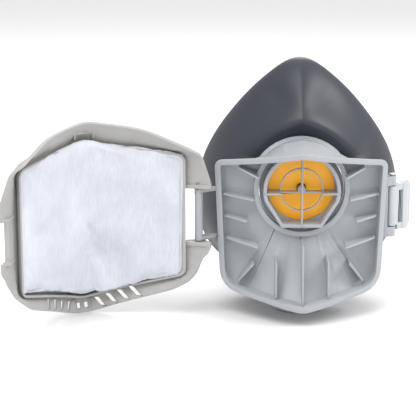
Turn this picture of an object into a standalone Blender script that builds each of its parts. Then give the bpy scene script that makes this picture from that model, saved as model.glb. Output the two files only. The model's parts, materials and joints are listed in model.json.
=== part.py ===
"""A painter's half-mask respirator, standing on its chin with the filter cover swung open.

The mask looks along -Y.  Its centre plane is x = MASK_X and the floor it stands on is z = 0.
Metres, +Z up.  Every sub-part is one closed body with a gap of about 0.3 mm to its neighbours.
"""

import math

import bmesh
import bpy
from mathutils import Matrix, Vector
from mathutils.bvhtree import BVHTree

# ---- driving dimensions -------------------------------------------------------------------
MASK_X = 0.04766  # the mask's centre plane, so that the open mask is centred on the origin
MASK_Y = 0.01051  # the plane of the filter seat's side edges
CORNER_Z = 0.0866  # height of the filter seat's upper corners
AXIS_Z = 0.0710  # height of the inhalation valve's axis

SEAT_HALF_W = 0.0478
SEAT_TOP = 0.0081  # the nose of the seat's top edge above its corners
SEAT_CHIN = -0.0792
NOSE_TOP = 0.0259  # how far the V of the seat stands forward at the top
NOSE_CHIN = 0.0305
NOSE_ROUND = 0.012
RIM_W = 0.0030
TRAY_DEPTH = 0.0085
SEAT_WALL = 0.0018

BOSS_R = 0.0264
BOSS_FLOOR_Y = -0.0022
BOSS_FACE_Y = -0.0060
BORE_R = 0.0236
TUBE_END_Y = 0.0130
NECK_R = BORE_R + SEAT_WALL + 0.0004

GUARD_FRONT_Y = -0.0100
GUARD_BACK_Y = 0.0010
VALVE_R = 0.0218
VALVE_T = 0.0010
VALVE_LIFT = 0.0015

RUBBER_T = 0.0022

HINGE_X = -0.0565
HINGE_Y = -0.0050
OPEN_ANGLE = math.radians(152.0)
PIN_R = 0.0013
GAP = 0.0003

COVER_WALL = 0.0018
COVER_DEPTH = 0.0090  # from the seat's front to the shelf that the pad lies on
CHAMBER_DEPTH = 0.0150
PAD_T = 0.0070

LOOP_X = 0.0508
LOOP_Y = 0.0050
LOOP_ANGLE = math.radians(48.0)

EXHALE_Y = 0.0120
EXHALE_R = 0.0150
LOUVRES = (0.0012, 0.0072, 0.0127, 0.0182, 0.0237)

# Outlines in (x, z), the right half from top to chin: (x, z above the seat's corners, radius).
SEAT_CORNERS = [
    (0.0, SEAT_TOP, 0.014),
    (SEAT_HALF_W, -0.0002, 0.0045),
    (0.0446, -0.0715, 0.012),
    (0.0, SEAT_CHIN, 0.020),
]
COVER_CORNERS = [
    (0.0, 0.0225, 0.030),
    (0.0270, 0.0186, 0.040),
    (0.0540, 0.0045, 0.007),
    (0.0603, -0.0115, 0.004),
    (0.0603, -0.0470, 0.004),
    (0.0525, -0.0605, 0.006),
    (0.0410, -0.0700, 0.020),
    (0.0, -0.0878, 0.022),
]
PAD_CORNERS = [
    (0.0, 0.0100, 0.010),
    (0.0462, 0.0030, 0.003),
    (0.0462, -0.0615, 0.003),
    (0.0, -0.0760, 0.014),
]
# The ribs that stand on the tray's floor: the (x, z) of both ends, the right half only.
SIDE_RIBS = [
    ((0.0345, -0.0033), (0.0240, -0.0078)),
    ((0.0430, -0.0190), (0.0262, -0.0203)),
    ((0.0418, -0.0312), (0.0300, -0.0326)),
    ((0.0412, -0.0434), (0.0240, -0.0463)),
    ((0.0263, -0.0556), (0.0345, -0.0668)),
    ((0.0142, -0.0526), (0.0142, -0.0725)),
]
CENTRE_RIB = ((0.0, -0.0430), (0.0, -0.0755))
RIB_T = 0.0011
RIB_RECESS = 0.0025
# The rubber's widest outline: (x, z above the seat's corners), right half from top to chin.
FACE_OUTLINE = [
    (0.0, 0.0545),
    (0.0235, 0.0400),
    (0.0444, 0.0150),
    (0.0555, -0.0080),
    (0.0580, -0.0320),
    (0.0545, -0.0510),
    (0.0440, -0.0655),
    (0.0220, -0.0815),
    (0.0, -0.0866),
]
# How the rubber runs from its neck to that outline at the top, the side and the chin:
# (share of the way out from the neck, y).
FACE_TOP = [(0.0, 0.005), (0.09, 0.005), (0.22, -0.001), (0.32, 0.000), (0.52, 0.007),
            (0.70, 0.014), (0.88, 0.021), (1.0, 0.028)]
FACE_SIDE = [(0.0, 0.005), (0.12, 0.005), (0.34, 0.008), (0.54, 0.012), (0.72, 0.019),
             (0.87, 0.027), (0.96, 0.034), (1.0, 0.040)]
FACE_CHIN = [(0.0, 0.005), (0.12, 0.005), (0.40, 0.004), (0.70, -0.0028), (0.77, 0.001),
             (0.785, 0.013), (0.80, 0.030), (1.0, 0.040)]
FACE_STEPS = 60


# ---- materials ------------------------------------------------------------------------------
def material(name, colour, roughness, metallic=0.0):
    """A Principled material of one colour."""
    found = bpy.data.materials.get(name)
    if found:
        return found
    made = bpy.data.materials.new(name)
    made.use_nodes = True
    shader = made.node_tree.nodes["Principled BSDF"]
    shader.inputs["Base Color"].default_value = (*colour, 1.0)
    shader.inputs["Roughness"].default_value = roughness
    shader.inputs["Metallic"].default_value = metallic
    made.diffuse_color = (*colour, 1.0)
    return made


def grey_plastic():
    return material("grey_plastic", (0.38, 0.40, 0.43), 0.45)


def dark_rubber():
    return material("dark_rubber", (0.075, 0.085, 0.115), 0.5)


def orange_rubber():
    return material("orange_rubber", (1.0, 0.42, 0.01), 0.35)


def stud_plastic():
    return material("stud_plastic", (0.06, 0.035, 0.03), 0.5)


def pad_fleece():
    return material("pad_fleece", (0.68, 0.70, 0.75), 0.95)


def steel():
    return material("pin_steel", (0.55, 0.56, 0.58), 0.3, 1.0)


# ---- outlines -------------------------------------------------------------------------------
def mirrored(half):
    """A closed outline from its right half, clockwise from the top."""
    return half + [(-p[0], *p[1:]) for p in reversed(half[1:-1])]


def rounded(corners, arc_steps, side_steps):
    """The points of a closed polygon with round corners, each corner (x, z, radius)."""
    count = len(corners)
    arcs = []
    for i, (x, z, radius) in enumerate(corners):
        here = Vector((x, z))
        before = Vector(corners[i - 1][:2]) - here
        after = Vector(corners[(i + 1) % count][:2]) - here
        before.normalize()
        after.normalize()
        half = before.angle(after) / 2
        reach = radius / math.tan(half)
        middle = here + (before + after).normalized() * (radius / math.sin(half))
        start = here + before * reach - middle
        end = here + after * reach - middle
        arcs.append([middle + start.slerp(end, k / arc_steps) * radius
                     for k in range(arc_steps + 1)])
    points = []
    for i, arc in enumerate(arcs):
        points += arc
        last, first = arc[-1], arcs[(i + 1) % count][0]
        points += [last.lerp(first, k / side_steps) for k in range(1, side_steps)]
    return points


def grown(outline, distance):
    """The outline moved outwards, or inwards where the distance is negative."""
    count = len(outline)
    moved = []
    for i, point in enumerate(outline):
        along = outline[(i + 1) % count] - outline[i - 1]
        moved.append(point + Vector((-along.y, along.x)).normalized() * distance)
    return moved


def towards(outline, centre, aim):
    """Where the ray from centre through aim meets the outline."""
    ray = aim - centre
    for i, b in enumerate(outline):
        a = outline[i - 1]
        edge = b - a
        cross = ray.x * edge.y - ray.y * edge.x
        if abs(cross) < 1e-12:
            continue
        gap = a - centre
        far = (gap.x * edge.y - gap.y * edge.x) / cross
        along = (gap.x * ray.y - gap.y * ray.x) / cross
        if far > 0 and -1e-6 <= along <= 1 + 1e-6:
            return centre + ray * far
    return aim


def seat_outline(grow=0.0):
    return grown(rounded(mirrored(SEAT_CORNERS), 4, 5), grow)


def cover_outline(grow=0.0):
    return grown(rounded(mirrored(COVER_CORNERS), 3, 4), grow)


def smooth_curve(points, steps):
    """Points spaced evenly in parameter along a closed Catmull-Rom curve."""
    count = len(points)
    curve = []
    for k in range(steps):
        place = k * count / steps
        i, t = int(place), place - int(place)
        a, b, c, d = (Vector(points[(i + j) % count]) for j in (-1, 0, 1, 2))
        curve.append(0.5 * (2 * b + (c - a) * t + (2 * a - 5 * b + 4 * c - d) * t * t
                            + (3 * b - a - 3 * c + d) * t ** 3))
    return curve


def front_y(x, z):
    """The V-shaped front of the seat: y at x, and z above the seat's corners."""
    share = (SEAT_TOP - z) / (SEAT_TOP - SEAT_CHIN)
    nose = NOSE_TOP + (NOSE_CHIN - NOSE_TOP) * share
    across = min(abs(x), SEAT_HALF_W)
    bend = math.hypot(across, NOSE_ROUND) - NOSE_ROUND
    whole = math.hypot(SEAT_HALF_W, NOSE_ROUND) - NOSE_ROUND
    return nose * (bend / whole - 1)


# ---- meshes ---------------------------------------------------------------------------------
def place(x, y, z):
    """A point of the mask, given from its centre plane, seat plane and seat corners."""
    return Vector((MASK_X + x, MASK_Y + y, CORNER_Z + z))


def add_object(name, mesh_data, finish, origin=None, smooth=math.radians(35)):
    """An object from a bmesh, with its origin moved to a point and its round faces smooth."""
    mesh = bpy.data.meshes.new(name)
    if origin is not None:
        mesh_data.transform(Matrix.Translation(-origin))
    mesh_data.to_mesh(mesh)
    mesh_data.free()
    mesh.shade_smooth()
    mesh.set_sharp_from_angle(angle=smooth)
    mesh.materials.append(finish)
    made = bpy.data.objects.new(name, mesh)
    if origin is not None:
        made.location = origin
    bpy.context.scene.collection.objects.link(made)
    return made


def bridge(shape, lower, upper):
    """Quads between two rings of vertices."""
    count = len(lower)
    for i in range(count):
        j = (i + 1) % count
        shape.faces.new((lower[i], lower[j], upper[j], upper[i]))


def loft(rings, closed=False, caps=False):
    """A skin through rings of points: closed joins last to first, caps fill both ends."""
    shape = bmesh.new()
    rows = [[shape.verts.new(p) for p in ring] for ring in rings]
    for lower, upper in zip(rows, rows[1:]):
        bridge(shape, lower, upper)
    if closed:
        bridge(shape, rows[-1], rows[0])
    if caps:
        for row in (rows[0], rows[-1]):
            middle = shape.verts.new(sum((v.co for v in row), Vector()) / len(row))
            for i in range(len(row)):
                shape.faces.new((row[i - 1], row[i], middle))
    bmesh.ops.recalc_face_normals(shape, faces=shape.faces)
    return shape


def thicken(shape, towards_point, thickness):
    """Gives a skin a wall on the side away from a point, and returns a closed shape."""
    face = min(shape.faces, key=lambda f: (f.calc_center_median() - towards_point).length)
    if face.normal.dot(towards_point - face.calc_center_median()) > 0:
        bmesh.ops.reverse_faces(shape, faces=shape.faces)
    shape.normal_update()
    outside = [(v, v.co + v.normal * thickness) for v in shape.verts]
    skin = list(shape.faces)
    edges = [e for e in shape.edges if e.is_boundary]
    twin = {v: shape.verts.new(co) for v, co in outside}
    for face in skin:
        shape.faces.new([twin[v] for v in face.verts])
    for edge in edges:
        a, b = edge.verts
        shape.faces.new((a, b, twin[b], twin[a]))
    bmesh.ops.recalc_face_normals(shape, faces=shape.faces)
    return shape


def prism(outline, depth, to_point):
    """A closed solid between two copies of an outline: to_point gives (u, v, along)."""
    ends = [[to_point(u, v, along) for u, v in outline] for along in depth]
    return loft(ends, caps=True)


def ring_of(radius, steps=48):
    return [Vector((radius * math.cos(a), radius * math.sin(a)))
            for a in (2 * math.pi * k / steps for k in range(steps))]


def tube_y(profile, centre_z, steps=48, x=0.0):
    """A closed body turned round an axis along Y, from (radius, y) points of its section."""
    rings = [[place(x + p.x, y, centre_z - CORNER_Z + p.y) for p in ring_of(r, steps)]
             for r, y in profile]
    return loft(rings, closed=True)


def tube_z(profile, x, y, steps=24):
    """A closed body turned round an upright axis, from (radius, z above the floor) points."""
    rings = [[place(x + p.x, y + p.y, z - CORNER_Z) for p in ring_of(r, steps)]
             for r, z in profile]
    return loft(rings, closed=True)


def rod(radius, low, high, x, y, steps=16):
    """An upright round rod; low and high are above the seat's corners."""
    rings = [[place(x + p.x, y + p.y, z) for p in ring_of(radius, steps)] for z in (low, high)]
    return loft(rings, caps=True)


def block(low, high):
    """A box between two corners given in the mask's own places."""
    a, b = place(*low), place(*high)
    shape = bmesh.new()
    bmesh.ops.create_cube(shape, size=1.0)
    size, middle = b - a, (a + b) / 2
    bmesh.ops.scale(shape, vec=size, verts=shape.verts)
    bmesh.ops.translate(shape, vec=middle, verts=shape.verts)
    return shape


def joined(shapes):
    """Several closed shapes in one bmesh."""
    whole = bmesh.new()
    for shape in shapes:
        mesh = bpy.data.meshes.new("piece")
        shape.to_mesh(mesh)
        shape.free()
        whole.from_mesh(mesh)
        bpy.data.meshes.remove(mesh)
    return whole


def tool(name, shape):
    """A hidden cutter, or a hidden addition, for a Boolean modifier."""
    made = add_object(name, shape, grey_plastic())
    made.hide_render = True
    made.display_type = "WIRE"
    return made


def combine(target, other, operation, solver="EXACT"):
    """A Boolean modifier on target with a hidden tool."""
    change = target.modifiers.new(other.name, "BOOLEAN")
    change.operation = operation
    change.solver = solver
    change.object = other


# ---- rubber ---------------------------------------------------------------------------------
def run_of(profile, direction):
    """(share, y) of one station, blended between the top, side and chin profiles."""
    up = max(0.0, direction.y) ** 1.6
    down = max(0.0, -direction.y) ** 2.2
    side = 1.0 - up - down
    parts = zip(FACE_TOP[profile], FACE_SIDE[profile], FACE_CHIN[profile])
    return [up * a + side * b + down * c for a, b, c in parts]


def face_piece():
    """The rubber cup: its neck is clamped behind the seat, and its edge turns in to seal."""
    axis = Vector((0.0, AXIS_Z - CORNER_Z))
    edge = smooth_curve(mirrored(FACE_OUTLINE), FACE_STEPS)
    rings = []
    for station in range(len(FACE_TOP)):
        ring = []
        for point in edge:
            away = point - axis
            share, y = run_of(station, away.normalized())
            reach = NECK_R + share * (away.length - NECK_R)
            spot = axis + away.normalized() * reach
            ring.append(place(spot.x, y, spot.y))
        rings.append(ring)
    for inward, back in ((0.0015, 0.0035), (0.0060, 0.0050), (0.0110, 0.0045)):
        lip = grown(edge, -inward)
        last = [p.y - MASK_Y for p in rings[len(FACE_TOP) - 1]]
        rings.append([place(p.x, y + back, p.y) for p, y in zip(lip, last)])
    shape = thicken(loft(rings), place(0, -0.300, -0.02), RUBBER_T)
    cup = add_object("face_piece", shape, dark_rubber(), smooth=math.radians(60))
    for name, radius, low, high, operation in (
            ("exhale_boss", 0.0155, 0.0087, 0.0155, "UNION"),
            ("exhale_pocket", 0.0139, 0.0134, 0.0240, "DIFFERENCE"),
            ("exhale_hole", 0.0113, 0.0050, 0.0240, "DIFFERENCE")):
        part = rod(radius, low - CORNER_Z, high - CORNER_Z, 0.0, EXHALE_Y, 40)
        combine(cup, tool(name, part), operation, "MANIFOLD")
    return cup


# ---- filter seat ----------------------------------------------------------------------------
def tray_rings(rim, wall, lift, back):
    """Rings of one side of the tray, from its rim to the middle of its floor.

    rim and wall are how far in from the outline those rings lie, lift is how far the wall's
    back stands outside the neck, and back moves the wall's back and the floor along Y."""
    axis = Vector((0.0, AXIS_Z - CORNER_Z))
    clear = NECK_R + lift
    edge, foot, floor, middle = [], [], [], []
    for p, q in zip(seat_outline(-rim), seat_outline(-wall)):
        edge.append((p.x, front_y(*p), p.y))
        z, y = q.y, front_y(*q) + TRAY_DEPTH + back / 2
        if q.y > axis.y and abs(q.x) < clear:
            z = max(z, axis.y + math.sqrt(clear ** 2 - q.x ** 2))
            y = max(y, BOSS_FACE_Y - 0.0005 + back / 2)
        foot.append(place(q.x, y, z))
        way = (q - axis).normalized()
        near, far = axis + way * (BORE_R + 0.0008 + lift / 2), axis + way * 0.010
        floor.append(place(near.x, BOSS_FLOOR_Y + back, near.y))
        middle.append(place(far.x, BOSS_FLOOR_Y + back, far.y))
    return edge, foot, floor, middle


def tray():
    """The V-shaped tray as one closed cup: rim, wall and a floor that slopes to the boss."""
    edge, foot, floor, middle = tray_rings(RIM_W, RIM_W + 0.0008, 0.0001, 0.0)
    back_edge, back_foot, back_floor, back_middle = tray_rings(
        RIM_W - 0.0012, RIM_W - 0.0010, 0.0018, SEAT_WALL)
    outline = [(p.x, front_y(*p), p.y) for p in seat_outline()]
    rings = [middle, floor, foot, [place(*p) for p in edge], [place(*p) for p in outline],
             [place(x, y + SEAT_WALL, z) for x, y, z in outline],
             [place(x, y + SEAT_WALL, z) for x, y, z in back_edge],
             back_foot, back_floor, back_middle]
    return loft(rings, caps=True)


def rib(start, end, floor_tree):
    """A thin upright plate on the tray's floor whose front edge follows the V."""
    across = Vector((end[1] - start[1], start[0] - end[0])).normalized() * RIB_T / 2
    rings = []
    for k in range(4):
        spot = Vector(start).lerp(Vector(end), k / 3)
        front = front_y(*spot) + RIB_RECESS
        ray = place(spot.x, front - 0.02, spot.y)
        hit = floor_tree.ray_cast(ray, Vector((0, 1, 0)))[0]
        back = hit.y - MASK_Y + SEAT_WALL / 2
        a, b = spot + across, spot - across
        rings.append([place(a.x, front, a.y), place(b.x, front, b.y),
                      place(b.x, back, b.y), place(a.x, back, a.y)])
    return loft(rings, caps=True)


def left_hinge_arms():
    """Two arms and the barrel that the cover's hinge pin runs in."""
    plan = [(-0.0458, 0.0018), (-0.0475, -0.0007), (-0.0556, -0.0074), (-0.0582, -0.0067),
            (-0.0589, -0.0047), (-0.0577, -0.0028), (-0.0520, 0.0018)]
    shapes = []
    for low, high in ((-0.0172, -0.0151), (-0.0439, -0.0418)):
        shapes.append(prism(plan, (low, high), lambda u, v, z: place(u, v, z)))
    return shapes


def right_lug():
    """The two knuckles that hold the strap loop's pin, and the web between them."""
    plan = [(0.0455, 0.0009), (0.0515, 0.0022), (0.0530, 0.0040), (0.0530, 0.0062),
            (0.0515, 0.0074), (0.0455, 0.0074)]
    shapes = []
    for low, high in ((-0.0150, -0.0096), (-0.0440, -0.0386)):
        shapes.append(prism(plan, (low, high), lambda u, v, z: place(u, v, z)))
    shapes.append(block((0.0440, 0.0009, -0.0400), (0.0482, 0.0030, -0.0140)))
    return shapes


def filter_seat():
    """The moulded tray, its boss and neck, its ribs, hinge arms and strap lug.

    The exact solver leaves gaps where the sloping floor grazes the boss, so this piece, whose
    parts are all closed, uses the manifold one."""
    shape = tray()
    floor_tree = BVHTree.FromBMesh(shape)
    seat = add_object("filter_seat", shape, grey_plastic())
    boss = [(BOSS_R, BOSS_FACE_Y), (BOSS_R, 0.0017), (BORE_R + SEAT_WALL, 0.0017),
            (BORE_R + SEAT_WALL, TUBE_END_Y), (BORE_R - 0.0012, TUBE_END_Y),
            (BORE_R - 0.0012, BOSS_FACE_Y)]
    combine(seat, tool("seat_boss", tube_y(boss, AXIS_Z, 64)), "UNION", "MANIFOLD")
    ribs = [rib(*CENTRE_RIB, floor_tree)]
    for a, b in SIDE_RIBS:
        ribs.append(rib(a, b, floor_tree))
        ribs.append(rib((-a[0], a[1]), (-b[0], b[1]), floor_tree))
    additions = ribs + left_hinge_arms() + right_lug()
    additions.append(rod(0.0023, -0.0441, -0.0149, HINGE_X, HINGE_Y, 20))
    for i, addition in enumerate(additions):
        combine(seat, tool(f"seat_part_{i}", addition), "UNION", "MANIFOLD")
    bore = loft([[place(p.x, y, AXIS_Z - CORNER_Z + p.y) for p in ring_of(BORE_R, 64)]
                 for y in (BOSS_FACE_Y - 0.0022, TUBE_END_Y + 0.002)], caps=True)
    combine(seat, tool("seat_bore", bore), "DIFFERENCE", "MANIFOLD")
    for name, x, y in (("hinge", HINGE_X, HINGE_Y), ("loop", LOOP_X, LOOP_Y)):
        hole = tool(f"seat_{name}_hole", rod(PIN_R + GAP, -0.050, -0.005, x, y))
        combine(seat, hole, "DIFFERENCE", "MANIFOLD")
    return seat


def seat_collar():
    """The stepped ring between the seat's boss and the rubber."""
    inner = BORE_R + SEAT_WALL + GAP
    profile = [(0.0284, 0.0030), (0.0284, 0.0047), (inner, 0.0047), (inner, 0.0021),
               (0.0272, 0.0021), (0.0272, 0.0030)]
    return add_object("seat_collar", tube_y(profile, AXIS_Z, 48), grey_plastic())


def retaining_ring():
    """The ring on the seat's neck inside the mask, which clamps the rubber's neck."""
    inner = BORE_R + SEAT_WALL + GAP
    profile = [(0.0285, 0.0078), (0.0295, 0.0085), (0.0295, 0.0110), (0.0283, 0.0122),
               (inner, 0.0122), (inner, 0.0078)]
    return add_object("retaining_ring", tube_y(profile, AXIS_Z, 48), grey_plastic())


# ---- inhalation valve -----------------------------------------------------------------------
def guard_outline(grow):
    """The D: a round top, two slanting sides and a flat bottom, about the valve's axis."""
    radius = 0.0192 + grow
    points = [Vector((radius * math.cos(a), radius * math.sin(a)))
              for a in (math.radians(-16 + 212 * k / 26) for k in range(27))]
    flat = -(0.0184 + grow)
    return points + [Vector((-0.0103 - grow * 0.4, flat)), Vector((0.0103 + grow * 0.4, flat))]


def valve_guard():
    """The D-shaped frame with a cross and a thin ring, which is also the valve's seat."""
    centre = AXIS_Z - CORNER_Z
    rings = []
    for grow, y in ((0.0020, GUARD_FRONT_Y), (0.0020, GUARD_BACK_Y), (0.0, GUARD_BACK_Y),
                    (0.0, GUARD_FRONT_Y)):
        rings.append([place(p.x, y, centre + p.y) for p in guard_outline(grow)])
    guard = add_object("inhalation_valve_guard", loft(rings, closed=True), grey_plastic())
    thin = 0.0005
    cross = [block((-thin, GUARD_FRONT_Y - 0.0006, centre - 0.0198),
                   (thin, GUARD_BACK_Y - 0.0040, centre + 0.0198))]
    combine(guard, tool("guard_upright", cross[0]), "UNION")
    for side in (-1, 1):
        near, far = sorted((side * 0.0112, side * 0.0205))
        end = block((near, GUARD_FRONT_Y - 0.0006, centre - 0.0020),
                    (far, GUARD_BACK_Y - 0.0002, centre - 0.0010))
        combine(guard, tool(f"guard_end_{side + 1}", end), "UNION")
    plate = block((-0.0118, GUARD_BACK_Y - 0.0065, centre - 0.0020),
                  (0.0118, GUARD_BACK_Y - 0.0025, centre - 0.0010))
    combine(guard, tool("guard_plate", plate), "UNION")
    ring = [(0.0121, -0.0055), (0.0121, -0.0035), (0.0113, -0.0035), (0.0113, -0.0055)]
    combine(guard, tool("guard_ring", tube_y(ring, AXIS_Z, 40)), "UNION")
    seat = [(0.0232, -0.0008), (0.0232, GUARD_BACK_Y), (0.0182, GUARD_BACK_Y), (0.0182, -0.0008)]
    combine(guard, tool("guard_seat", tube_y(seat, AXIS_Z, 64)), "UNION")
    hub = loft([[place(p.x, y, centre + p.y) for p in ring_of(0.0022, 16)]
                for y in (-0.0060, -0.0013)], caps=True)
    combine(guard, tool("guard_hub", hub), "UNION")
    return guard


def inhalation_valve():
    """The orange disc and the dark stud that holds it to the guard's hub."""
    start = GUARD_BACK_Y + GAP
    profile = [(VALVE_R, start), (VALVE_R, start + VALVE_T), (0.0019, start + VALVE_T),
               (0.0019, start)]
    valve = add_object("inhalation_valve_disc", tube_y(profile, AXIS_Z, 48), orange_rubber())
    back = start + VALVE_T + VALVE_LIFT + GAP
    shaft = [(0.0, -0.0010), (0.0027, -0.0010), (0.0027, start - GAP), (0.0015, start - GAP),
             (0.0015, back), (0.0034, back), (0.0030, back + 0.0012), (0.0, back + 0.0012)]
    stud = add_object("inhalation_valve_stud", turned_solid(shaft, AXIS_Z), stud_plastic())
    return valve, stud


def turned_solid(profile, centre_z, steps=20):
    """A solid turned round an axis along Y; the profile starts and ends on the axis."""
    shape = bmesh.new()
    rows = []
    for r, y in profile:
        ring = ring_of(r, steps) if r else [Vector((0, 0))]
        rows.append([shape.verts.new(place(p.x, y, centre_z - CORNER_Z + p.y)) for p in ring])
    join_rows(shape, rows)
    return shape


# ---- exhalation valve -----------------------------------------------------------------------
def exhalation_seat():
    """The flanged ring through the rubber's chin, with a cross that holds the stud."""
    profile = [(0.0086, 0.0150), (0.0136, 0.0150), (0.0136, 0.0137), (0.0110, 0.0137),
               (0.0110, 0.0084), (EXHALE_R, 0.0084), (EXHALE_R, 0.0068), (0.0086, 0.0068)]
    made = add_object("exhalation_valve_seat", tube_z(profile, 0.0, EXHALE_Y, 40), grey_plastic())
    low, high = 0.0076 - CORNER_Z, 0.0092 - CORNER_Z
    bars = (block((-0.0095, EXHALE_Y - 0.0007, low), (0.0095, EXHALE_Y + 0.0007, high)),
            block((-0.0007, EXHALE_Y - 0.0095, low), (0.0007, EXHALE_Y + 0.0095, high)),
            rod(0.0026, low - 0.0003, high + 0.0002, 0.0, EXHALE_Y, 20))
    for i, bar in enumerate(bars):
        combine(made, tool(f"exhale_bar_{i}", bar), "UNION")
    bore = rod(0.0012 + GAP, 0.0050 - CORNER_Z, 0.0110 - CORNER_Z, 0.0, EXHALE_Y)
    combine(made, tool("exhale_stud_hole", bore), "DIFFERENCE")
    return made


def exhalation_disc():
    profile = [(0.0125, 0.0055), (0.0125, 0.0065), (0.0015, 0.0065), (0.0015, 0.0055)]
    return add_object("exhalation_valve_disc", tube_z(profile, 0.0, EXHALE_Y, 40),
                      orange_rubber())


def exhalation_stud():
    """The stud through the cross, with a button above it and one below the disc."""
    shape = bmesh.new()
    profile = [(0.0, 0.0108), (0.0022, 0.0108), (0.0026, 0.0098), (0.0012, 0.0098),
               (0.0012, 0.0041), (0.0026, 0.0041), (0.0024, 0.0031), (0.0, 0.0031)]
    rows = []
    for r, z in profile:
        ring = ring_of(r, 20) if r else [Vector((0, 0))]
        rows.append([shape.verts.new(place(p.x, EXHALE_Y + p.y, z - CORNER_Z)) for p in ring])
    join_rows(shape, rows)
    return add_object("exhalation_valve_stud", shape, orange_rubber())


def exhalation_cap():
    """The grille cap under the chin, whose flat bottom is what the mask stands on."""
    profile = [(0.0168, 0.0082), (0.0168, 0.0008), (0.0160, 0.0), (0.0, 0.0)]
    inside = [(0.0, 0.0016), (0.0153, 0.0016), (0.0153, 0.0082)]
    shape = bmesh.new()
    rows = []
    for r, z in profile + inside:
        ring = ring_of(r, 40) if r else [Vector((0, 0))]
        rows.append([shape.verts.new(place(p.x, EXHALE_Y + p.y, z - CORNER_Z)) for p in ring])
    join_rows(shape, rows)
    bridge(shape, rows[-1], rows[0])
    bmesh.ops.recalc_face_normals(shape, faces=shape.faces)
    cap = add_object("exhalation_valve_cap", shape, grey_plastic())
    slots = []
    for k in range(10):
        slot = block((0.0140, EXHALE_Y - 0.0016, 0.0026 - CORNER_Z),
                     (0.0185, EXHALE_Y + 0.0016, 0.0060 - CORNER_Z))
        centre = place(0, EXHALE_Y, 0)
        turn = Matrix.Rotation(2 * math.pi * (k + 0.5) / 10, 3, "Z")
        bmesh.ops.rotate(slot, cent=centre, matrix=turn, verts=slot.verts)
        slots.append(slot)
    combine(cap, tool("cap_slots", joined(slots)), "DIFFERENCE")
    return cap


def join_rows(shape, rows):
    """Faces between rows of vertices, where a row of one vertex is a tip on the axis."""
    for lower, upper in zip(rows, rows[1:]):
        if len(lower) > 1 and len(upper) > 1:
            bridge(shape, lower, upper)
        elif len(lower) + len(upper) > 2:
            tip, ring = (lower, upper) if len(lower) == 1 else (upper, lower)
            for i in range(len(ring)):
                shape.faces.new((tip[0], ring[i - 1], ring[i]))
    bmesh.ops.recalc_face_normals(shape, faces=shape.faces)


# ---- strap loop -----------------------------------------------------------------------------
def pivot(name, x, y, angle):
    """An empty on an upright axis, turned by the rest angle of what hangs on it."""
    empty = bpy.data.objects.new(name, None)
    empty.location = place(x, y, 0)
    empty.rotation_euler.z = angle
    bpy.context.scene.collection.objects.link(empty)
    return empty


def hang(made, empty):
    """Parents an object made with its origin on the axis, and any tools it uses."""
    made.parent = empty
    made.location = (0, 0, 0)
    for change in made.modifiers:
        change.object.parent = empty
    return made


def strap_loop():
    """The frame that the head strap threads through, swinging on the right lug's pin."""
    empty = pivot("strap_loop_axis", LOOP_X, LOOP_Y, LOOP_ANGLE)
    axis = place(LOOP_X, LOOP_Y, 0)

    def at(u, v, z):
        return place(LOOP_X + u, LOOP_Y + v, z)

    def box(low, high):
        shape = block((LOOP_X + low[0], LOOP_Y + low[1], low[2]),
                      (LOOP_X + high[0], LOOP_Y + high[1], high[2]))
        return shape

    barrel = rod(0.0023, -0.0382, -0.0154, LOOP_X, LOOP_Y, 20)
    loop = add_object("right_strap_loop", barrel, grey_plastic(), axis)
    stations = [(0.0084, -0.0015, 0.0014, -0.0410, -0.0150),
                (0.0122, -0.0015, 0.0014, -0.0422, -0.0134),
                (0.0162, -0.0007, 0.0012, -0.0398, -0.0158),
                (0.0176, -0.0002, 0.0008, -0.0370, -0.0186)]
    grip = loft([[at(u, v0, z0), at(u, v1, z0), at(u, v1, z1), at(u, v0, z1)]
                 for u, v0, v1, z0, z1 in stations], caps=True)
    extras = [box((0.0006, -0.0013, -0.0382), (0.0047, 0.0013, -0.0154)),
              box((0.0040, -0.0013, -0.0188), (0.0095, 0.0012, -0.0150)),
              box((0.0040, -0.0013, -0.0412), (0.0095, 0.0012, -0.0374)), grip]
    for i, shape in enumerate(extras):
        part = tool(f"loop_part_{i}", shape)
        part.data.transform(Matrix.Translation(-axis))
        combine(loop, part, "UNION")
    hole = tool("loop_hole", rod(PIN_R + GAP, -0.050, -0.005, LOOP_X, LOOP_Y))
    hole.data.transform(Matrix.Translation(-axis))
    combine(loop, hole, "DIFFERENCE")
    return hang(loop, empty)


def pins():
    """The strap loop's pin and the cover's hinge pin, each with a head on top."""
    made = []
    for name, x, y, low, high in (("strap_loop_pin", LOOP_X, LOOP_Y, -0.0440, -0.0093),
                                  ("cover_hinge_pin", HINGE_X, HINGE_Y, -0.0470, -0.0120)):
        shape = bmesh.new()
        profile = [(0.0, low), (PIN_R, low), (PIN_R, high), (0.0021, high),
                   (0.0021, high + 0.0009), (0.0, high + 0.0009)]
        rows = []
        for r, z in profile:
            ring = ring_of(r, 16) if r else [Vector((0, 0))]
            rows.append([shape.verts.new(place(x + p.x, y + p.y, z)) for p in ring])
        join_rows(shape, rows)
        made.append(add_object(name, shape, steel()))
    return made


# ---- cover ----------------------------------------------------------------------------------
def rim_y(x, z):
    """The cover's rim: round the seat at its sides, in front of it at the nose and chin."""
    side = min(abs(x) / SEAT_HALF_W, 1.0)
    if z < -0.052:
        return front_y(x, z) - 0.0006 - 0.0044 * (1 - side)
    return front_y(x, z) + 0.0020 * side - 0.0025 * (1 - side)


def pad_outline(grow=0.0):
    """The pad's outline, whose corners keep their radius where it is moved inwards."""
    corners = [(x, z, radius + max(0.0, -grow)) for x, z, radius in PAD_CORNERS]
    return grown(rounded(mirrored(corners), 4, 5), grow)


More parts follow.
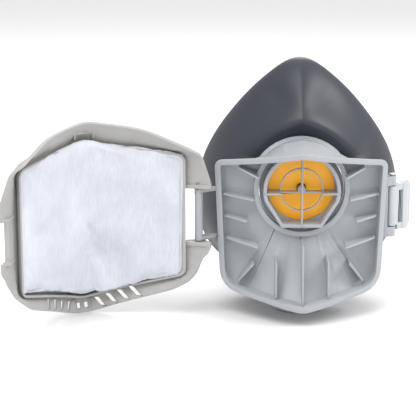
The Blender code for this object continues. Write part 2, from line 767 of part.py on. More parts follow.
def cover_skin():
    """The inner skin of the cover as it lies when closed, from its rim to its middle."""
    centre = Vector((0.0, -0.033))
    rim = cover_outline()
    rings = [[place(p.x, rim_y(*p), p.y) for p in rim]]
    steps = ((0.0026, COVER_DEPTH, 1.0), (-0.0060, COVER_DEPTH, 1.0),
             (-0.0075, CHAMBER_DEPTH, 1.0), (-0.0075, CHAMBER_DEPTH + 0.001, 0.5))
    for grow, depth, share in steps:
        shelf = pad_outline(grow)
        ring = []
        for p in rim:
            spot = centre.lerp(towards(shelf, centre, p), share)
            ring.append(place(spot.x, front_y(*spot) - depth, spot.y))
        rings.append(ring)
    shape = loft(rings)
    shape.verts.ensure_lookup_table()
    count = len(rim)
    last = shape.verts[len(shape.verts) - count:]
    middle = shape.verts.new(place(0, front_y(*centre) - CHAMBER_DEPTH - 0.001, centre.y))
    for i in range(count):
        shape.faces.new((last[i - 1], last[i], middle))
    bmesh.ops.recalc_face_normals(shape, faces=shape.faces)
    return shape


def ear_plan():
    """The outline, in plan, of the ears that the hinge pin goes through."""
    offsets = [(0.0085, -0.0048), (0.0080, -0.0015), (0.0030, 0.0020), (-0.0008, 0.0060),
               (-0.0036, 0.0066), (-0.0045, 0.0040), (-0.0042, 0.0), (-0.0015, -0.0036),
               (0.0040, -0.0060)]
    return [(HINGE_X + u, HINGE_Y + v) for u, v in offsets]


def louvre_cutters():
    """Slanting slots through the cover's bottom wall, either side of the nose."""
    shapes = []
    for side in (-1, 1):
        for start in LOUVRES:
            short = start == LOUVRES[0]
            top = -0.0812 + start * 0.40
            tall = 0.0030 if short else 0.0042
            lean = 0.0 if short else 0.0024
            outline = [(side * start, top), (side * (start + 0.0022), top),
                       (side * (start + 0.0022 + lean), top - tall),
                       (side * (start + lean), top - tall)]
            shapes.append(prism(outline, (-0.050, -0.012), lambda u, v, y: place(u, y, v)))
    return joined(shapes)


def clip_boxes():
    """The ribbed pockets at the cover's nose and chin that grip the seat's edge."""
    shapes = []
    for side in (-1, 1):
        x = side * 0.0055
        top = [(-0.0352, 0.0132), (-0.0305, 0.0132), (-0.0292, 0.0212), (-0.0298, 0.0218)]
        chin = [(-0.0405, -0.0782), (-0.0368, -0.0782), (-0.0345, -0.0838), (-0.0375, -0.0848)]
        for section in (top, chin):
            shapes.append(prism(section, (x - 0.0006, x + 0.0006),
                                lambda y, z, u: place(u, y, z)))
    bar = [(-0.0345, 0.0158), (-0.0308, 0.0158), (-0.0308, 0.0170), (-0.0340, 0.0170)]
    shapes.append(prism(bar, (-0.0055, 0.0055), lambda y, z, u: place(u, y, z)))
    return shapes


def front_cover(empty):
    """The cover: a flared shell with hinge ears, latch notch, clip boxes and louvres.

    Its wall folds tightly round the shelf, so it uses the manifold solver as the seat does."""
    axis = place(HINGE_X, HINGE_Y, 0)
    shape = thicken(cover_skin(), place(0, 0.1, -0.03), COVER_WALL)
    cover = add_object("front_cover", shape, grey_plastic(), axis)
    work = [("hinge_notch", block((-0.0700, -0.0143, -0.0445), (-0.0482, 0.0080, -0.0145)),
             "DIFFERENCE"),
            ("latch_notch", block((0.0545, -0.0030, -0.0420), (0.0700, 0.0080, -0.0200)),
             "DIFFERENCE")]
    for i, (low, high) in enumerate(((-0.0145, -0.0123), (-0.0467, -0.0445))):
        work.append((f"hinge_ear_{i}", prism(ear_plan(), (low, high), place), "UNION"))
    for i, clip in enumerate(clip_boxes()):
        work.append((f"clip_{i}", clip, "UNION"))
    for i, (low, high) in enumerate(((-0.0200, -0.0186), (-0.0434, -0.0420))):
        lip = [(0.0500, -0.0098), (0.0500, -0.0072), (0.0560, 0.0004), (0.0607, 0.0012),
               (0.0600, -0.0010), (0.0560, -0.0048)]
        work.append((f"latch_lip_{i}", prism(lip, (low, high), place), "UNION"))
    work.append(("louvres", louvre_cutters(), "DIFFERENCE"))
    work.append(("ear_holes", rod(PIN_R + GAP, -0.0500, -0.0080, HINGE_X, HINGE_Y),
                 "DIFFERENCE"))
    work.append(("pin_head_pocket", rod(0.0027, -0.0124, -0.0104, HINGE_X, HINGE_Y),
                 "DIFFERENCE"))
    for name, piece, operation in work:
        part = tool(name, piece)
        part.data.transform(Matrix.Translation(-axis))
        combine(cover, part, operation, "MANIFOLD")
    return hang(cover, empty)


def pad_frame(empty):
    """The thin upright frame on the cover's shelf that keeps the pad in place."""
    inner, outer = pad_outline(0.0007), pad_outline(0.0019)
    low, high = -COVER_DEPTH + GAP, -COVER_DEPTH + 0.0048
    rings = [[place(p.x, front_y(*p) + y, p.y) for p in outline]
             for outline, y in ((outer, low), (outer, high), (inner, high), (inner, low))]
    made = add_object("pad_frame", loft(rings, closed=True), grey_plastic(),
                      place(HINGE_X, HINGE_Y, 0))
    return hang(made, empty)


def filter_pad(empty):
    """The fleece filter pad, a thin cushion that follows the V of the shelf."""
    front, back = -COVER_DEPTH + 0.0006, -COVER_DEPTH + 0.0006 + PAD_T
    middle = (front + back) / 2
    layers = ((-0.0028, front), (-0.0010, front + 0.0008), (0.0, middle - 0.0012),
              (0.0, middle + 0.0012), (-0.0010, back - 0.0008), (-0.0028, back))
    rings = [[place(p.x, front_y(*p) + y, p.y) for p in pad_outline(grow)]
             for grow, y in layers]
    shape = loft(rings)
    shape.verts.ensure_lookup_table()
    count = len(rings[0])
    centre = Vector((0.0, -0.033))
    for y, row in ((front, list(shape.verts)[:count]), (back, list(shape.verts)[-count:])):
        halfway = [shape.verts.new(place(*between(v.co, centre, y))) for v in row]
        bridge(shape, row, halfway)
        tip = shape.verts.new(place(0, front_y(*centre) + y, centre.y))
        for i in range(count):
            shape.faces.new((halfway[i - 1], halfway[i], tip))
    bmesh.ops.triangulate(shape, faces=shape.faces)
    bmesh.ops.recalc_face_normals(shape, faces=shape.faces)
    made = add_object("filter_pad", shape, pad_fleece(), place(HINGE_X, HINGE_Y, 0))
    return hang(made, empty)


def between(spot, centre, y):
    """Halfway from a point of the mask to the centre line, on the V moved by y."""
    x, z = (spot.x - MASK_X + centre.x) / 2, (spot.z - CORNER_Z + centre.y) / 2
    return x, front_y(x, z) + y, z


def main():
    for old in list(bpy.data.objects):
        bpy.data.objects.remove(old)
    face_piece()
    filter_seat()
    seat_collar()
    retaining_ring()
    valve_guard()
    inhalation_valve()
    exhalation_seat()
    exhalation_disc()
    exhalation_stud()
    exhalation_cap()
    strap_loop()
    pins()
    hinge = pivot("cover_axis", HINGE_X, HINGE_Y, -OPEN_ANGLE)
    front_cover(hinge)
    pad_frame(hinge)
    filter_pad(hinge)


main()
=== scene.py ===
# %% [markdown]
# # A painter's half mask, cell by cell
# The mask stands on its chin with its filter cover swung open.  It is a dark rubber cup, a grey
# moulded filter seat with a valve in it, and a cover with a fleece pad.  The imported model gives
# every piece its place, so this file only gives them their finished shapes and surfaces.

# %% Load the frame
import json
import math

import bpy
from mathutils import Matrix, Vector, noise


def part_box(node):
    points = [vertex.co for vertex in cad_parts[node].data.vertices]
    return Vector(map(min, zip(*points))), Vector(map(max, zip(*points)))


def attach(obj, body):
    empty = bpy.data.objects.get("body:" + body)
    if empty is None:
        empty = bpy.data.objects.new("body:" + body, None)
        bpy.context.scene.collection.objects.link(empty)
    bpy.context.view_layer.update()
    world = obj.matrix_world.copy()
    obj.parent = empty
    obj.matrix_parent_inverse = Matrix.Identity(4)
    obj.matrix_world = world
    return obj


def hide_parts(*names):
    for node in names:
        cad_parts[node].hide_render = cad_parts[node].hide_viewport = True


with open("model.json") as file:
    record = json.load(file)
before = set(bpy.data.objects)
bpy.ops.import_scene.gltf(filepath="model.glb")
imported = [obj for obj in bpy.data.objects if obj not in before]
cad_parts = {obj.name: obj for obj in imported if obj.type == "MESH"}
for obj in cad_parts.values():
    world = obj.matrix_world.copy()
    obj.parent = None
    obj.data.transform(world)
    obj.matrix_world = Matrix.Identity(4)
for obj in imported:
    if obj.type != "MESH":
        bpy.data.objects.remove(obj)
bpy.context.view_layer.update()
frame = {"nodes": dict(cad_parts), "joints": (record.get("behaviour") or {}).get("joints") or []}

# %% [markdown]
# ## The places everything hangs on
# The mask's own centre plane, the plane of its filter seat's side edges and the height of the
# seat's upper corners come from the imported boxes.  The cover's two turning moves come from its
# hinge.  Every later cell measures from these.

# %% Measure the mask
CAP_BEHIND_EDGES = 0.0120
CORNERS_ABOVE_VALVE = 0.0156
valve_low, valve_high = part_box("inhalation_valve_disc")
VALVE = (valve_low + valve_high) / 2
cap_low, cap_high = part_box("exhalation_valve_cap")
MASK = Vector((VALVE.x, (cap_low.y + cap_high.y) / 2 - CAP_BEHIND_EDGES,
               VALVE.z + CORNERS_ABOVE_VALVE))
hinge = next(j for j in frame["joints"] if j["name"] == "cover_hinge")
HINGE = Vector(hinge["pos_m"])
OPEN_ANGLE = math.radians(hinge["range_deg"][1])
TO_CLOSED = (Matrix.Translation(HINGE) @ Matrix.Rotation(OPEN_ANGLE, 4, "Z")
             @ Matrix.Translation(-HINGE))
TO_OPEN = TO_CLOSED.inverted()
print("mask plane", MASK.x, "valve", VALVE, "hinge", HINGE)

# %% [markdown]
# ## The camera
# A long lens from a little above keeps the upright edges of the seat nearly parallel.  It aims
# beside the mask's middle, so that the open cover is in view too.  The plain Standard transform
# keeps the white surroundings white.

# %% Place the camera
AIM_LEFT, AIM_BELOW = 0.0514, 0.0271
TARGET = Vector((MASK.x - AIM_LEFT, MASK.y, MASK.z - AIM_BELOW))
LOOK_DOWN = math.radians(13.0)
CAMERA_DISTANCE = 0.8405
LENS_MM, SENSOR_MM = 131.5, 36.0
camera_data = bpy.data.cameras.new("studio_camera")
camera_data.lens = LENS_MM
camera_data.sensor_width = SENSOR_MM
camera = bpy.data.objects.new("studio_camera", camera_data)
camera.location = (TARGET + Vector((0, -math.cos(LOOK_DOWN), math.sin(LOOK_DOWN)))
                   * CAMERA_DISTANCE)
camera.rotation_euler = (math.pi / 2 - LOOK_DOWN, 0, 0)
bpy.context.scene.collection.objects.link(camera)
bpy.context.scene.camera = camera
bpy.context.scene.view_settings.view_transform = "Standard"
print("camera at", camera.location)


# %% [markdown]
# ## Patterns that several finishes share
# Moulded plastic and rubber are never one flat colour: the sheen of the mould varies slowly, and
# a fine spark-eroded grain breaks up the highlights.  One node group makes both and is placed in
# each finish with its own values.

# %% Build the moulded grain group
def new_group(name, inputs, outputs):
    """A shader node group with float or colour sockets and its two end nodes."""
    group = bpy.data.node_groups.new(name, "ShaderNodeTree")
    for label, kind, value in inputs:
        socket = group.interface.new_socket(label, in_out="INPUT", socket_type=kind)
        socket.default_value = value
    for label, kind in outputs:
        group.interface.new_socket(label, in_out="OUTPUT", socket_type=kind)
    start = group.nodes.new("NodeGroupInput")
    end = group.nodes.new("NodeGroupOutput")
    return group, start, end


def add_node(tree, kind, **settings):
    """A node of a kind with its settings and, by name, its input values."""
    node = tree.nodes.new(kind)
    for label, value in settings.items():
        if hasattr(node, label):
            setattr(node, label, value)
        else:
            node.inputs[label.replace("_", " ").title()].default_value = value
    return node


def moulded_group():
    """Gives a colour, a roughness and a grain height for anything that came out of a mould."""
    group, start, end = new_group(
        "moulded_grain",
        [("Base Tone", "NodeSocketColor", (0.4, 0.4, 0.4, 1)),
         ("Worn Tone", "NodeSocketColor", (0.5, 0.5, 0.5, 1)),
         ("Roughness", "NodeSocketFloat", 0.45), ("Spread", "NodeSocketFloat", 0.1),
         ("Grain Scale", "NodeSocketFloat", 1400.0)],
        [("Color", "NodeSocketColor"), ("Roughness", "NodeSocketFloat"),
         ("Height", "NodeSocketFloat")])
    link = group.links.new
    place = add_node(group, "ShaderNodeTexCoord")
    slow = add_node(group, "ShaderNodeTexNoise", scale=34.0, detail=3.0)
    fine = add_node(group, "ShaderNodeTexNoise", detail=2.0)
    scuffs = add_node(group, "ShaderNodeTexNoise", scale=240.0, detail=5.0, roughness=0.7)
    for texture in (slow, fine, scuffs):
        link(place.outputs["Object"], texture.inputs["Vector"])
    link(start.outputs["Grain Scale"], fine.inputs["Scale"])
    patches = add_node(group, "ShaderNodeMapRange", from_min=0.35, from_max=0.75)
    link(slow.outputs["Fac"], patches.inputs["Value"])
    marks = add_node(group, "ShaderNodeMapRange", from_min=0.56, from_max=0.72, to_max=0.5)
    link(scuffs.outputs["Fac"], marks.inputs["Value"])
    both = add_node(group, "ShaderNodeMath", operation="MULTIPLY")
    link(patches.outputs["Result"], both.inputs[0])
    link(marks.outputs["Result"], both.inputs[1])
    tone = add_node(group, "ShaderNodeMix", data_type="RGBA")
    link(both.outputs[0], tone.inputs["Factor"])
    link(start.outputs["Base Tone"], tone.inputs["A"])
    link(start.outputs["Worn Tone"], tone.inputs["B"])
    link(tone.outputs["Result"], end.inputs["Color"])
    spread = add_node(group, "ShaderNodeMath", operation="MULTIPLY_ADD")
    link(slow.outputs["Fac"], spread.inputs[0])
    link(start.outputs["Spread"], spread.inputs[1])
    link(start.outputs["Roughness"], spread.inputs[2])
    link(spread.outputs[0], end.inputs["Roughness"])
    link(fine.outputs["Fac"], end.inputs["Height"])
    return group


MOULDED = moulded_group()
print("group sockets:", [item.name for item in MOULDED.interface.items_tree])


# %% [markdown]
# ## Plastic, rubber and steel
# The grey plastic is a satin polypropylene, the face piece a smooth dark blue-grey rubber, the
# valve discs a bright silicone.  They differ in colour, gloss and grain, so they are one recipe
# with different values.  What is the same all over is set on the shader itself.  Thin silicone
# lets light through from behind, and a little emission stands in for that.

# %% Make the moulded finishes
COAT_ROUGHNESS = 0.25
GRAIN_HEIGHT = 0.0002
AMBER_GLOW = 0.22


def moulded_finish(name, tone, worn, roughness, spread, grain, depth, coat=0.0, metallic=0.0):
    """A Principled material whose colour, gloss and bump come from the moulded grain."""
    inputs = {"Base Tone": (*tone, 1), "Worn Tone": (*worn, 1), "Roughness": roughness,
              "Spread": spread, "Grain Scale": grain}
    finish = bpy.data.materials.new(name)
    finish.use_nodes = True
    tree = finish.node_tree
    shader = tree.nodes["Principled BSDF"]
    shader.inputs["Metallic"].default_value = metallic
    shader.inputs["Coat Weight"].default_value = coat
    shader.inputs["Coat Roughness"].default_value = COAT_ROUGHNESS
    grain_node = tree.nodes.new("ShaderNodeGroup")
    grain_node.node_tree = MOULDED
    for label, value in inputs.items():
        grain_node.inputs[label].default_value = value
    bump = tree.nodes.new("ShaderNodeBump")
    bump.inputs["Strength"].default_value = depth
    bump.inputs["Distance"].default_value = GRAIN_HEIGHT
    tree.links.new(grain_node.outputs["Color"], shader.inputs["Base Color"])
    tree.links.new(grain_node.outputs["Roughness"], shader.inputs["Roughness"])
    tree.links.new(grain_node.outputs["Height"], bump.inputs["Height"])
    tree.links.new(bump.outputs["Normal"], shader.inputs["Normal"])
    return finish


GREY = moulded_finish("grey_shell_plastic", (0.37, 0.39, 0.415), (0.43, 0.445, 0.465),
                      0.33, 0.16, 1500, 0.22, coat=0.12)
COVER_GREY = moulded_finish("cover_shell_plastic", (0.39, 0.385, 0.375), (0.45, 0.44, 0.425),
                            0.36, 0.16, 1500, 0.22, coat=0.08)
# A lighter copy of the same grey plastic, with painted light: the collar's top and the strap loop
# catch the light from above, and that is painted into a lighter grey.
LIT_GREY_PAINTED = moulded_finish("grey_plastic_painted_lit", (0.47, 0.50, 0.53), (0.52, 0.55, 0.58),
                             0.30, 0.12, 1500, 0.15, coat=0.15)
RUBBER = moulded_finish("face_rubber", (0.026, 0.030, 0.043), (0.036, 0.041, 0.056),
                        0.36, 0.14, 900, 0.25)
AMBER = moulded_finish("valve_silicone", (1.0, 0.47, 0.006), (1.0, 0.52, 0.01),
                       0.30, 0.10, 700, 0.10, coat=0.2)
amber_shader = AMBER.node_tree.nodes["Principled BSDF"]
amber_shader.inputs["Emission Color"].default_value = (1.0, 0.42, 0.01, 1)
amber_shader.inputs["Emission Strength"].default_value = AMBER_GLOW
BUTTON = moulded_finish("stud_plastic_dark", (0.035, 0.016, 0.012), (0.06, 0.03, 0.02),
                        0.42, 0.10, 900, 0.10)
STEEL = moulded_finish("pin_steel_drawn", (0.55, 0.56, 0.58), (0.62, 0.63, 0.64),
                       0.22, 0.12, 1800, 0.10, metallic=1.0)
print("finishes:", [m.name for m in bpy.data.materials if m.node_tree])


# %% [markdown]
# ## Moulded edges
# A CAD edge is perfectly sharp, and no moulded one is: a radius of a third of a millimetre
# catches the light along every rim and rib.  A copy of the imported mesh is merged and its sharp
# edges are bevelled.  Flat faces are made whole first only where none of them is a ring, since a
# ring made whole loses its hole.

# %% Write the softening recipe
WELD_DISTANCE = 0.00001
FLAT_WITHIN = math.radians(1.0)
BEVEL_OVER = math.radians(36)
SMOOTH_UNDER = math.radians(34)


def select_only(piece):
    bpy.ops.object.select_all(action="DESELECT")
    piece.select_set(True)
    bpy.context.view_layer.objects.active = piece


def merged_copy(node, name, flatten):
    """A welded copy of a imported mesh, with its flat faces made whole if asked."""
    piece = bpy.data.objects.new(name, frame["nodes"][node].data.copy())
    bpy.context.scene.collection.objects.link(piece)
    select_only(piece)
    bpy.ops.object.mode_set(mode="EDIT")
    bpy.ops.mesh.select_all(action="SELECT")
    bpy.ops.mesh.remove_doubles(threshold=WELD_DISTANCE)
    if flatten:
        bpy.ops.mesh.dissolve_limited(angle_limit=FLAT_WITHIN)
    else:
        bpy.ops.mesh.tris_convert_to_quads()
    bpy.ops.object.mode_set(mode="OBJECT")
    bpy.ops.mesh.customdata_custom_splitnormals_clear()
    return piece


def apply_all(piece):
    select_only(piece)
    for change in list(piece.modifiers):
        bpy.ops.object.modifier_apply(modifier=change.name)


def wear(piece, finish):
    piece.data.materials.clear()
    piece.data.materials.append(finish)


def soften(node, name, body, slot, finish, radius, flatten=False):
    """Puts a bevelled stand-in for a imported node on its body."""
    piece = merged_copy(node, name, flatten)
    bevel = piece.modifiers.new("moulded_edge", "BEVEL")
    bevel.width = radius
    bevel.segments = 2
    bevel.limit_method = "ANGLE"
    bevel.angle_limit = BEVEL_OVER
    bevel.use_clamp_overlap = False
    bevel.miter_outer = "MITER_ARC"
    apply_all(piece)
    bpy.ops.object.shade_smooth_by_angle(angle=SMOOTH_UNDER)
    wear(piece, finish)
    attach(piece, body)
    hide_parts(node)
    print(name, len(piece.data.polygons), "faces")


print("edges over", round(math.degrees(BEVEL_OVER)), "degrees are rounded")

# %% [markdown]
# Each rigid piece goes through the recipe in turn.  Broad shells get the largest radius, thin
# ribs and small turned pieces a smaller one.

# %% Soften the plastic and steel pieces
MOULDED_PIECES = [
    ("filter_seat", "moulded_filter_seat", "mask", "grey_plastic", GREY, 0.00030),
    ("front_cover", "moulded_cover", "cover", "grey_plastic", COVER_GREY, 0.00030),
    ("pad_frame", "moulded_pad_frame", "cover", "grey_plastic", COVER_GREY, 0.00022, True),
    ("inhalation_valve_guard", "moulded_valve_guard", "mask", "grey_plastic", GREY, 0.00018),
    ("seat_collar", "moulded_collar", "mask", "grey_plastic", LIT_GREY_PAINTED, 0.00025),
    ("retaining_ring", "moulded_ring", "mask", "grey_plastic", GREY, 0.00030),
    ("right_strap_loop", "moulded_strap_loop", "strap_loop", "grey_plastic", LIT_GREY_PAINTED,
     0.00030, True),
    ("exhalation_valve_seat", "moulded_exhale_seat", "mask", "grey_plastic", GREY, 0.00020),
    ("exhalation_valve_cap", "moulded_exhale_cap", "mask", "grey_plastic", GREY, 0.00030),
    ("exhalation_valve_disc", "exhale_flap", "exhalation_valve", "orange_rubber", AMBER, 0.00015),
    ("inhalation_valve_disc", "inhale_flap", "inhalation_valve", "orange_rubber", AMBER, 0.00015),
    ("exhalation_valve_stud", "exhale_button", "mask", "orange_rubber", AMBER, 0.00020),
    ("inhalation_valve_stud", "inhale_button", "mask", "stud_plastic", BUTTON, 0.00025),
    ("cover_hinge_pin", "turned_hinge_pin", "mask", "pin_steel", STEEL, 0.00015),
    ("strap_loop_pin", "turned_loop_pin", "mask", "pin_steel", STEEL, 0.00015),
]
for settings in MOULDED_PIECES:
    soften(*settings)


# %% [markdown]
# ## The rubber face piece
# The cup is moulded in one soft piece.  A ridge runs down the nose and forks above the collar,
# and the sides are hollowed under it.  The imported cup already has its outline, so a merged copy
# is subdivided until it is smooth.  Then each point of the nose moves by the ridge, the fork and
# the hollows.  The places below are (across, up) from the mask's own centre.

# %% Sculpt the rubber cup
RIDGE_FOOT_Z, FORK_SPREAD_X, FORK_END_Z = 0.0215, 0.0200, 0.0050
NOSE_TOP, RIDGE_FOOT = Vector((0.0, 0.060)), Vector((0.0, RIDGE_FOOT_Z))
RIDGE_HEIGHT, RIDGE_WIDTH, RIDGE_FADE_IN = 0.0017, 0.0065, 3
FORK_HEIGHT, FORK_WIDTH_ABOVE, FORK_WIDTH_BELOW, FORK_END_LOSS = 0.0024, 0.0075, 0.0034, 0.5
HOLLOW_TOP, HOLLOW_FOOT = Vector((0.014, 0.030)), Vector((0.034, 0.0090))
HOLLOW_DEPTH, HOLLOW_WIDTH = 0.0028, 0.0090
CREST_ROUNDING = 0.0007


def bell(distance, width):
    """A smooth hump that falls away to nothing over about twice the width."""
    return math.exp(-(distance / width) ** 2)


def distance_to_run(x, z, a, b):
    """How far (x, z) lies from the straight run from a to b, and where along it, 0 to 1."""
    run, away = b - a, Vector((x, z)) - a
    share = min(max(away.dot(run) / run.length_squared, 0.0), 1.0)
    return (away - run * share).length, share


def crest(distance, width):
    """A ridge's section: a crisp top that falls away over the width."""
    return math.exp(-math.hypot(distance, CREST_ROUNDING) / width)


def rubber_move(x, z):
    """How far the outer skin stands proud at a place on the nose, in metres."""
    far, along = distance_to_run(x, z, NOSE_TOP, RIDGE_FOOT)
    ridge = RIDGE_HEIGHT * crest(far, RIDGE_WIDTH) * min(1.0, RIDGE_FADE_IN * along)
    fork = 0.0
    for side in (-1, 1):
        end = Vector((side * FORK_SPREAD_X, FORK_END_Z))
        far, along = distance_to_run(x, z, RIDGE_FOOT, end)
        below = z < RIDGE_FOOT_Z - abs(x) * (RIDGE_FOOT_Z - FORK_END_Z) / FORK_SPREAD_X
        width = FORK_WIDTH_BELOW if below else FORK_WIDTH_ABOVE
        fork = max(fork, FORK_HEIGHT * crest(far, width) * (1 - FORK_END_LOSS * along))
    hollow, _ = distance_to_run(abs(x), z, HOLLOW_TOP, HOLLOW_FOOT)
    return max(ridge, fork) - HOLLOW_DEPTH * bell(hollow, HOLLOW_WIDTH)


def sculpt_cup():
    cup = merged_copy("face_piece", "rubber_cup", flatten=False)
    smooth = cup.modifiers.new("smooth", "SUBSURF")
    smooth.levels = smooth.render_levels = 2
    apply_all(cup)
    bpy.ops.object.shade_smooth()
    for vertex in cup.data.vertices:
        x, _, z = vertex.co - MASK
        if z > 0.0 and vertex.normal.y < 0.2:
            vertex.co.y -= rubber_move(x, z)
    wear(cup, RUBBER)
    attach(cup, "mask")
    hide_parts("face_piece")
    print("rubber cup:", len(cup.data.polygons), "faces")


sculpt_cup()

# %% [markdown]
# ## Fleece
# The filter pad is a felted white fleece.  Fine crossed fibres break its surface, with painted
# shade where they sink, a slow tone varies across it at random, and its sheen is soft all over.

# %% Build the felted fibres group
FIBRE_DIRECTIONS = ((0.5, 5.0), (-0.7, 4.0))
# The darker colour is painted shade in the hollows between fibres, mixed with a slow random tone;
# the lighter one is the open fleece.
FLEECE_PAINTED_SHADE, OPEN_FLEECE = (0.52, 0.54, 0.60, 1), (0.66, 0.68, 0.74, 1)


def fibres_group():
    """Gives a height from two sets of stretched, crossing fibres, and a colour with painted shade
    where they sink, varied by a slow random tone.
    """
    group, start, end = new_group(
        "felted_fibres", [("Fibre Scale", "NodeSocketFloat", 900.0)],
        [("Color", "NodeSocketColor"), ("Height", "NodeSocketFloat")])
    link = group.links.new
    place = add_node(group, "ShaderNodeTexCoord")
    total = add_node(group, "ShaderNodeMath", operation="ADD")
    for number, (angle, stretch) in enumerate(FIBRE_DIRECTIONS):
        turn = add_node(group, "ShaderNodeMapping", rotation=(0.0, angle, 0.4),
                        scale=(1.0, 1.0, 1.0 / stretch))
        fibres = add_node(group, "ShaderNodeTexNoise", detail=4.0, roughness=0.65)
        link(place.outputs["Object"], turn.inputs["Vector"])
        link(turn.outputs["Vector"], fibres.inputs["Vector"])
        link(start.outputs["Fibre Scale"], fibres.inputs["Scale"])
        link(fibres.outputs["Fac"], total.inputs[number])
    half = add_node(group, "ShaderNodeMath", operation="MULTIPLY")
    half.inputs[1].default_value = 0.5
    link(total.outputs[0], half.inputs[0])
    slow = add_node(group, "ShaderNodeTexNoise", scale=45.0, detail=2.0)
    link(place.outputs["Object"], slow.inputs["Vector"])
    blend = add_node(group, "ShaderNodeMath", operation="MULTIPLY")
    link(half.outputs[0], blend.inputs[0])
    link(slow.outputs["Fac"], blend.inputs[1])
    # Low fibres turn the colour to painted shade; the slow noise varies it at random.
    ramp = add_node(group, "ShaderNodeValToRGB")
    shaded, lit = ramp.color_ramp.elements
    shaded.position, shaded.color = 0.12, FLEECE_PAINTED_SHADE
    lit.position, lit.color = 0.38, OPEN_FLEECE
    link(blend.outputs[0], ramp.inputs["Fac"])
    link(ramp.outputs["Color"], end.inputs["Color"])
    link(half.outputs[0], end.inputs["Height"])
    return group


FIBRES = fibres_group()
print("fibre sockets:", [item.name for item in FIBRES.interface.items_tree])

# %% [markdown]
# The fleece itself is rough, with a soft sheen, and takes its colour and bump from the fibres.

# %% Make the fleece finish
FIBRE_HEIGHT = 0.0004


def fleece_finish():
    finish = bpy.data.materials.new("pad_fleece_felted")
    finish.use_nodes = True
    tree = finish.node_tree
    shader = tree.nodes["Principled BSDF"]
    shader.inputs["Roughness"].default_value = 0.92
    shader.inputs["Sheen Weight"].default_value = 0.25
    fibres = tree.nodes.new("ShaderNodeGroup")
    fibres.node_tree = FIBRES
    bump = tree.nodes.new("ShaderNodeBump")
    bump.inputs["Strength"].default_value = 0.55
    bump.inputs["Distance"].default_value = FIBRE_HEIGHT
    tree.links.new(fibres.outputs["Color"], shader.inputs["Base Color"])
    tree.links.new(fibres.outputs["Height"], bump.inputs["Height"])
    tree.links.new(bump.outputs["Normal"], shader.inputs["Normal"])
    return finish


FLEECE = fleece_finish()
print("fleece made:", FLEECE.name)

# %% [markdown]
# ## The filter pad
# The pad is a soft cushion pressed into the cover's V.  Cloth simulation swells a slightly
# smaller copy of it, so that it crowns and puckers as filled fleece does.  Each point may move
# only a little, because the frame round it holds it.  Shallow upright folds are pressed in after.

# %% Swell the pad
PAD_SHRINK = 0.995
PAD_MESH_STEP = 0.0017
PAD_PRESSURE = 4.0
SWELL_FRAMES = 20
PAD_MOVE_CAP = 0.0014


def swollen_pad():
    """A finely meshed copy of the pad, swollen by no more than the cap at any point."""
    pad = merged_copy("filter_pad", "fleece_pad", flatten=True)
    middle = sum((v.co for v in pad.data.vertices), Vector()) / len(pad.data.vertices)
    for vertex in pad.data.vertices:
        vertex.co = middle + (vertex.co - middle) * PAD_SHRINK
    remesh = pad.modifiers.new("even_mesh", "REMESH")
    remesh.mode = "VOXEL"
    remesh.voxel_size = PAD_MESH_STEP
    apply_all(pad)
    start = [v.co.copy() for v in pad.data.vertices]
    cloth = pad.modifiers.new("swell", "CLOTH")
    cloth.settings.use_pressure = True
    cloth.settings.uniform_pressure_force = PAD_PRESSURE
    cloth.settings.effector_weights.gravity = 0.0
    for step in range(1, SWELL_FRAMES + 1):
        bpy.context.scene.frame_set(step)
    apply_all(pad)
    bpy.context.scene.frame_set(1)
    for vertex, old in zip(pad.data.vertices, start):
        move = vertex.co - old
        if move.length > PAD_MOVE_CAP:
            vertex.co = old + move * (PAD_MOVE_CAP / move.length)
    smooth = pad.modifiers.new("smooth", "SUBSURF")
    smooth.levels = smooth.render_levels = 1
    apply_all(pad)
    return pad


pad = swollen_pad()
print("pad:", len(pad.data.polygons), "faces")

# %% [markdown]
# The fleece has settled into soft upright folds that wander a little, and its open side spreads
# over the thin frame that holds it.  Both follow the closed cover's own width, so each point is
# turned to that place first.

# %% Press the folds into the pad
PAD_CENTRE = Vector((0.0, 0.0, -0.033))
NOSE_FORWARD, SEAT_HALF_W, NOSE_ROUND = 0.0276, 0.0478, 0.012
SHELF_DEPTH, PAD_THICKNESS = 0.0084, 0.0070
FRAME_TOP_SHARE, FRAME_EDGE_SHARE, OVERHANG = 0.66, 0.16, 0.10
FOLD_DEPTH, SWELL_DEPTH, FOLD_WANDER = 0.00095, 0.00100, 0.0035


def v_front(x):
    """The V that the closed cover's shelf follows, across the mask."""
    bend = math.hypot(min(abs(x), SEAT_HALF_W), NOSE_ROUND) - NOSE_ROUND
    return NOSE_FORWARD * (bend / (math.hypot(SEAT_HALF_W, NOSE_ROUND) - NOSE_ROUND) - 1)


def spill(place):
    """Spreads the pad's open side over the thin frame that holds it."""
    share = (place.y - v_front(place.x) + SHELF_DEPTH) / PAD_THICKNESS
    grow = OVERHANG * min(max((share - FRAME_TOP_SHARE) / FRAME_EDGE_SHARE, 0.0), 1.0)
    return Vector(((place.x - PAD_CENTRE.x) * grow, 0, (place.z - PAD_CENTRE.z) * grow))


def fold_depth(x, z):
    """How deep the fleece folds in at a place of the closed cover, in metres."""
    wander = FOLD_WANDER * noise.noise(Vector((x * 40, z * 26, 0.3)))
    upright = noise.noise(Vector(((x + wander) * 150, z * 22, 1.7)))
    broad = noise.noise(Vector((x * 55, z * 40, 4.1)))
    return FOLD_DEPTH * upright + SWELL_DEPTH * broad


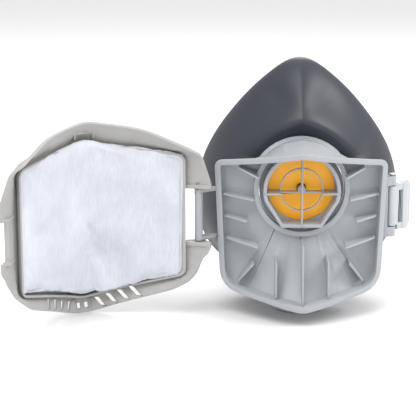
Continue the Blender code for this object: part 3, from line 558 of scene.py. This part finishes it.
for vertex in pad.data.vertices:
    place = TO_CLOSED @ vertex.co - MASK
    fold = Vector((0, fold_depth(place.x, place.z), 0))
    vertex.co += TO_OPEN.to_3x3() @ (fold + spill(place))
select_only(pad)
bpy.ops.object.shade_smooth()
wear(pad, FLEECE)
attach(pad, "cover")
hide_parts("filter_pad")
print("pad folded")

# %% [markdown]
# ## The studio
# A wide, flat and pale floor.  One broad soft light hangs above and in front, one to the right
# and one behind, and an even white glow comes from all round, so the shadows stay wide and faint.

# %% Lay the floor and hang the lights
FLOOR_SIZE, FLOOR_DROP = 6.0, 0.0002
LIGHTS_AIM = Vector((0, 0, 0.06))
WORLD_GLOW = 0.9


def studio_floor():
    bpy.ops.object.select_all(action="DESELECT")
    bpy.ops.mesh.primitive_plane_add(size=FLOOR_SIZE, location=(0, 0, -FLOOR_DROP))
    floor = bpy.context.object
    floor.name = "studio_floor"
    finish = bpy.data.materials.new("floor_white")
    finish.use_nodes = True
    shader = finish.node_tree.nodes["Principled BSDF"]
    shader.inputs["Base Color"].default_value = (0.88, 0.88, 0.88, 1)
    shader.inputs["Roughness"].default_value = 0.6
    wear(floor, finish)


def soft_light(name, place, size, power):
    lamp = bpy.data.lights.new(name, "AREA")
    lamp.shape = "DISK"
    lamp.size = size
    lamp.energy = power
    made = bpy.data.objects.new(name, lamp)
    made.location = place
    aim = LIGHTS_AIM - Vector(place)
    made.rotation_euler = aim.to_track_quat("-Z", "Y").to_euler()
    bpy.context.scene.collection.objects.link(made)


studio_floor()
soft_light("key_above", (-0.25, -0.55, 1.15), 0.9, 8.0)
soft_light("fill_right", (0.9, -0.15, 0.75), 0.5, 5.0)
soft_light("back_top", (0.1, 0.9, 0.9), 0.7, 5.0)
world = bpy.data.worlds.new("studio_air")
world.use_nodes = True
glow = world.node_tree.nodes["Background"]
glow.inputs["Color"].default_value = (1, 1, 1, 1)
glow.inputs["Strength"].default_value = WORLD_GLOW
bpy.context.scene.world = world
print("lights:", [lamp.name for lamp in bpy.data.lights])
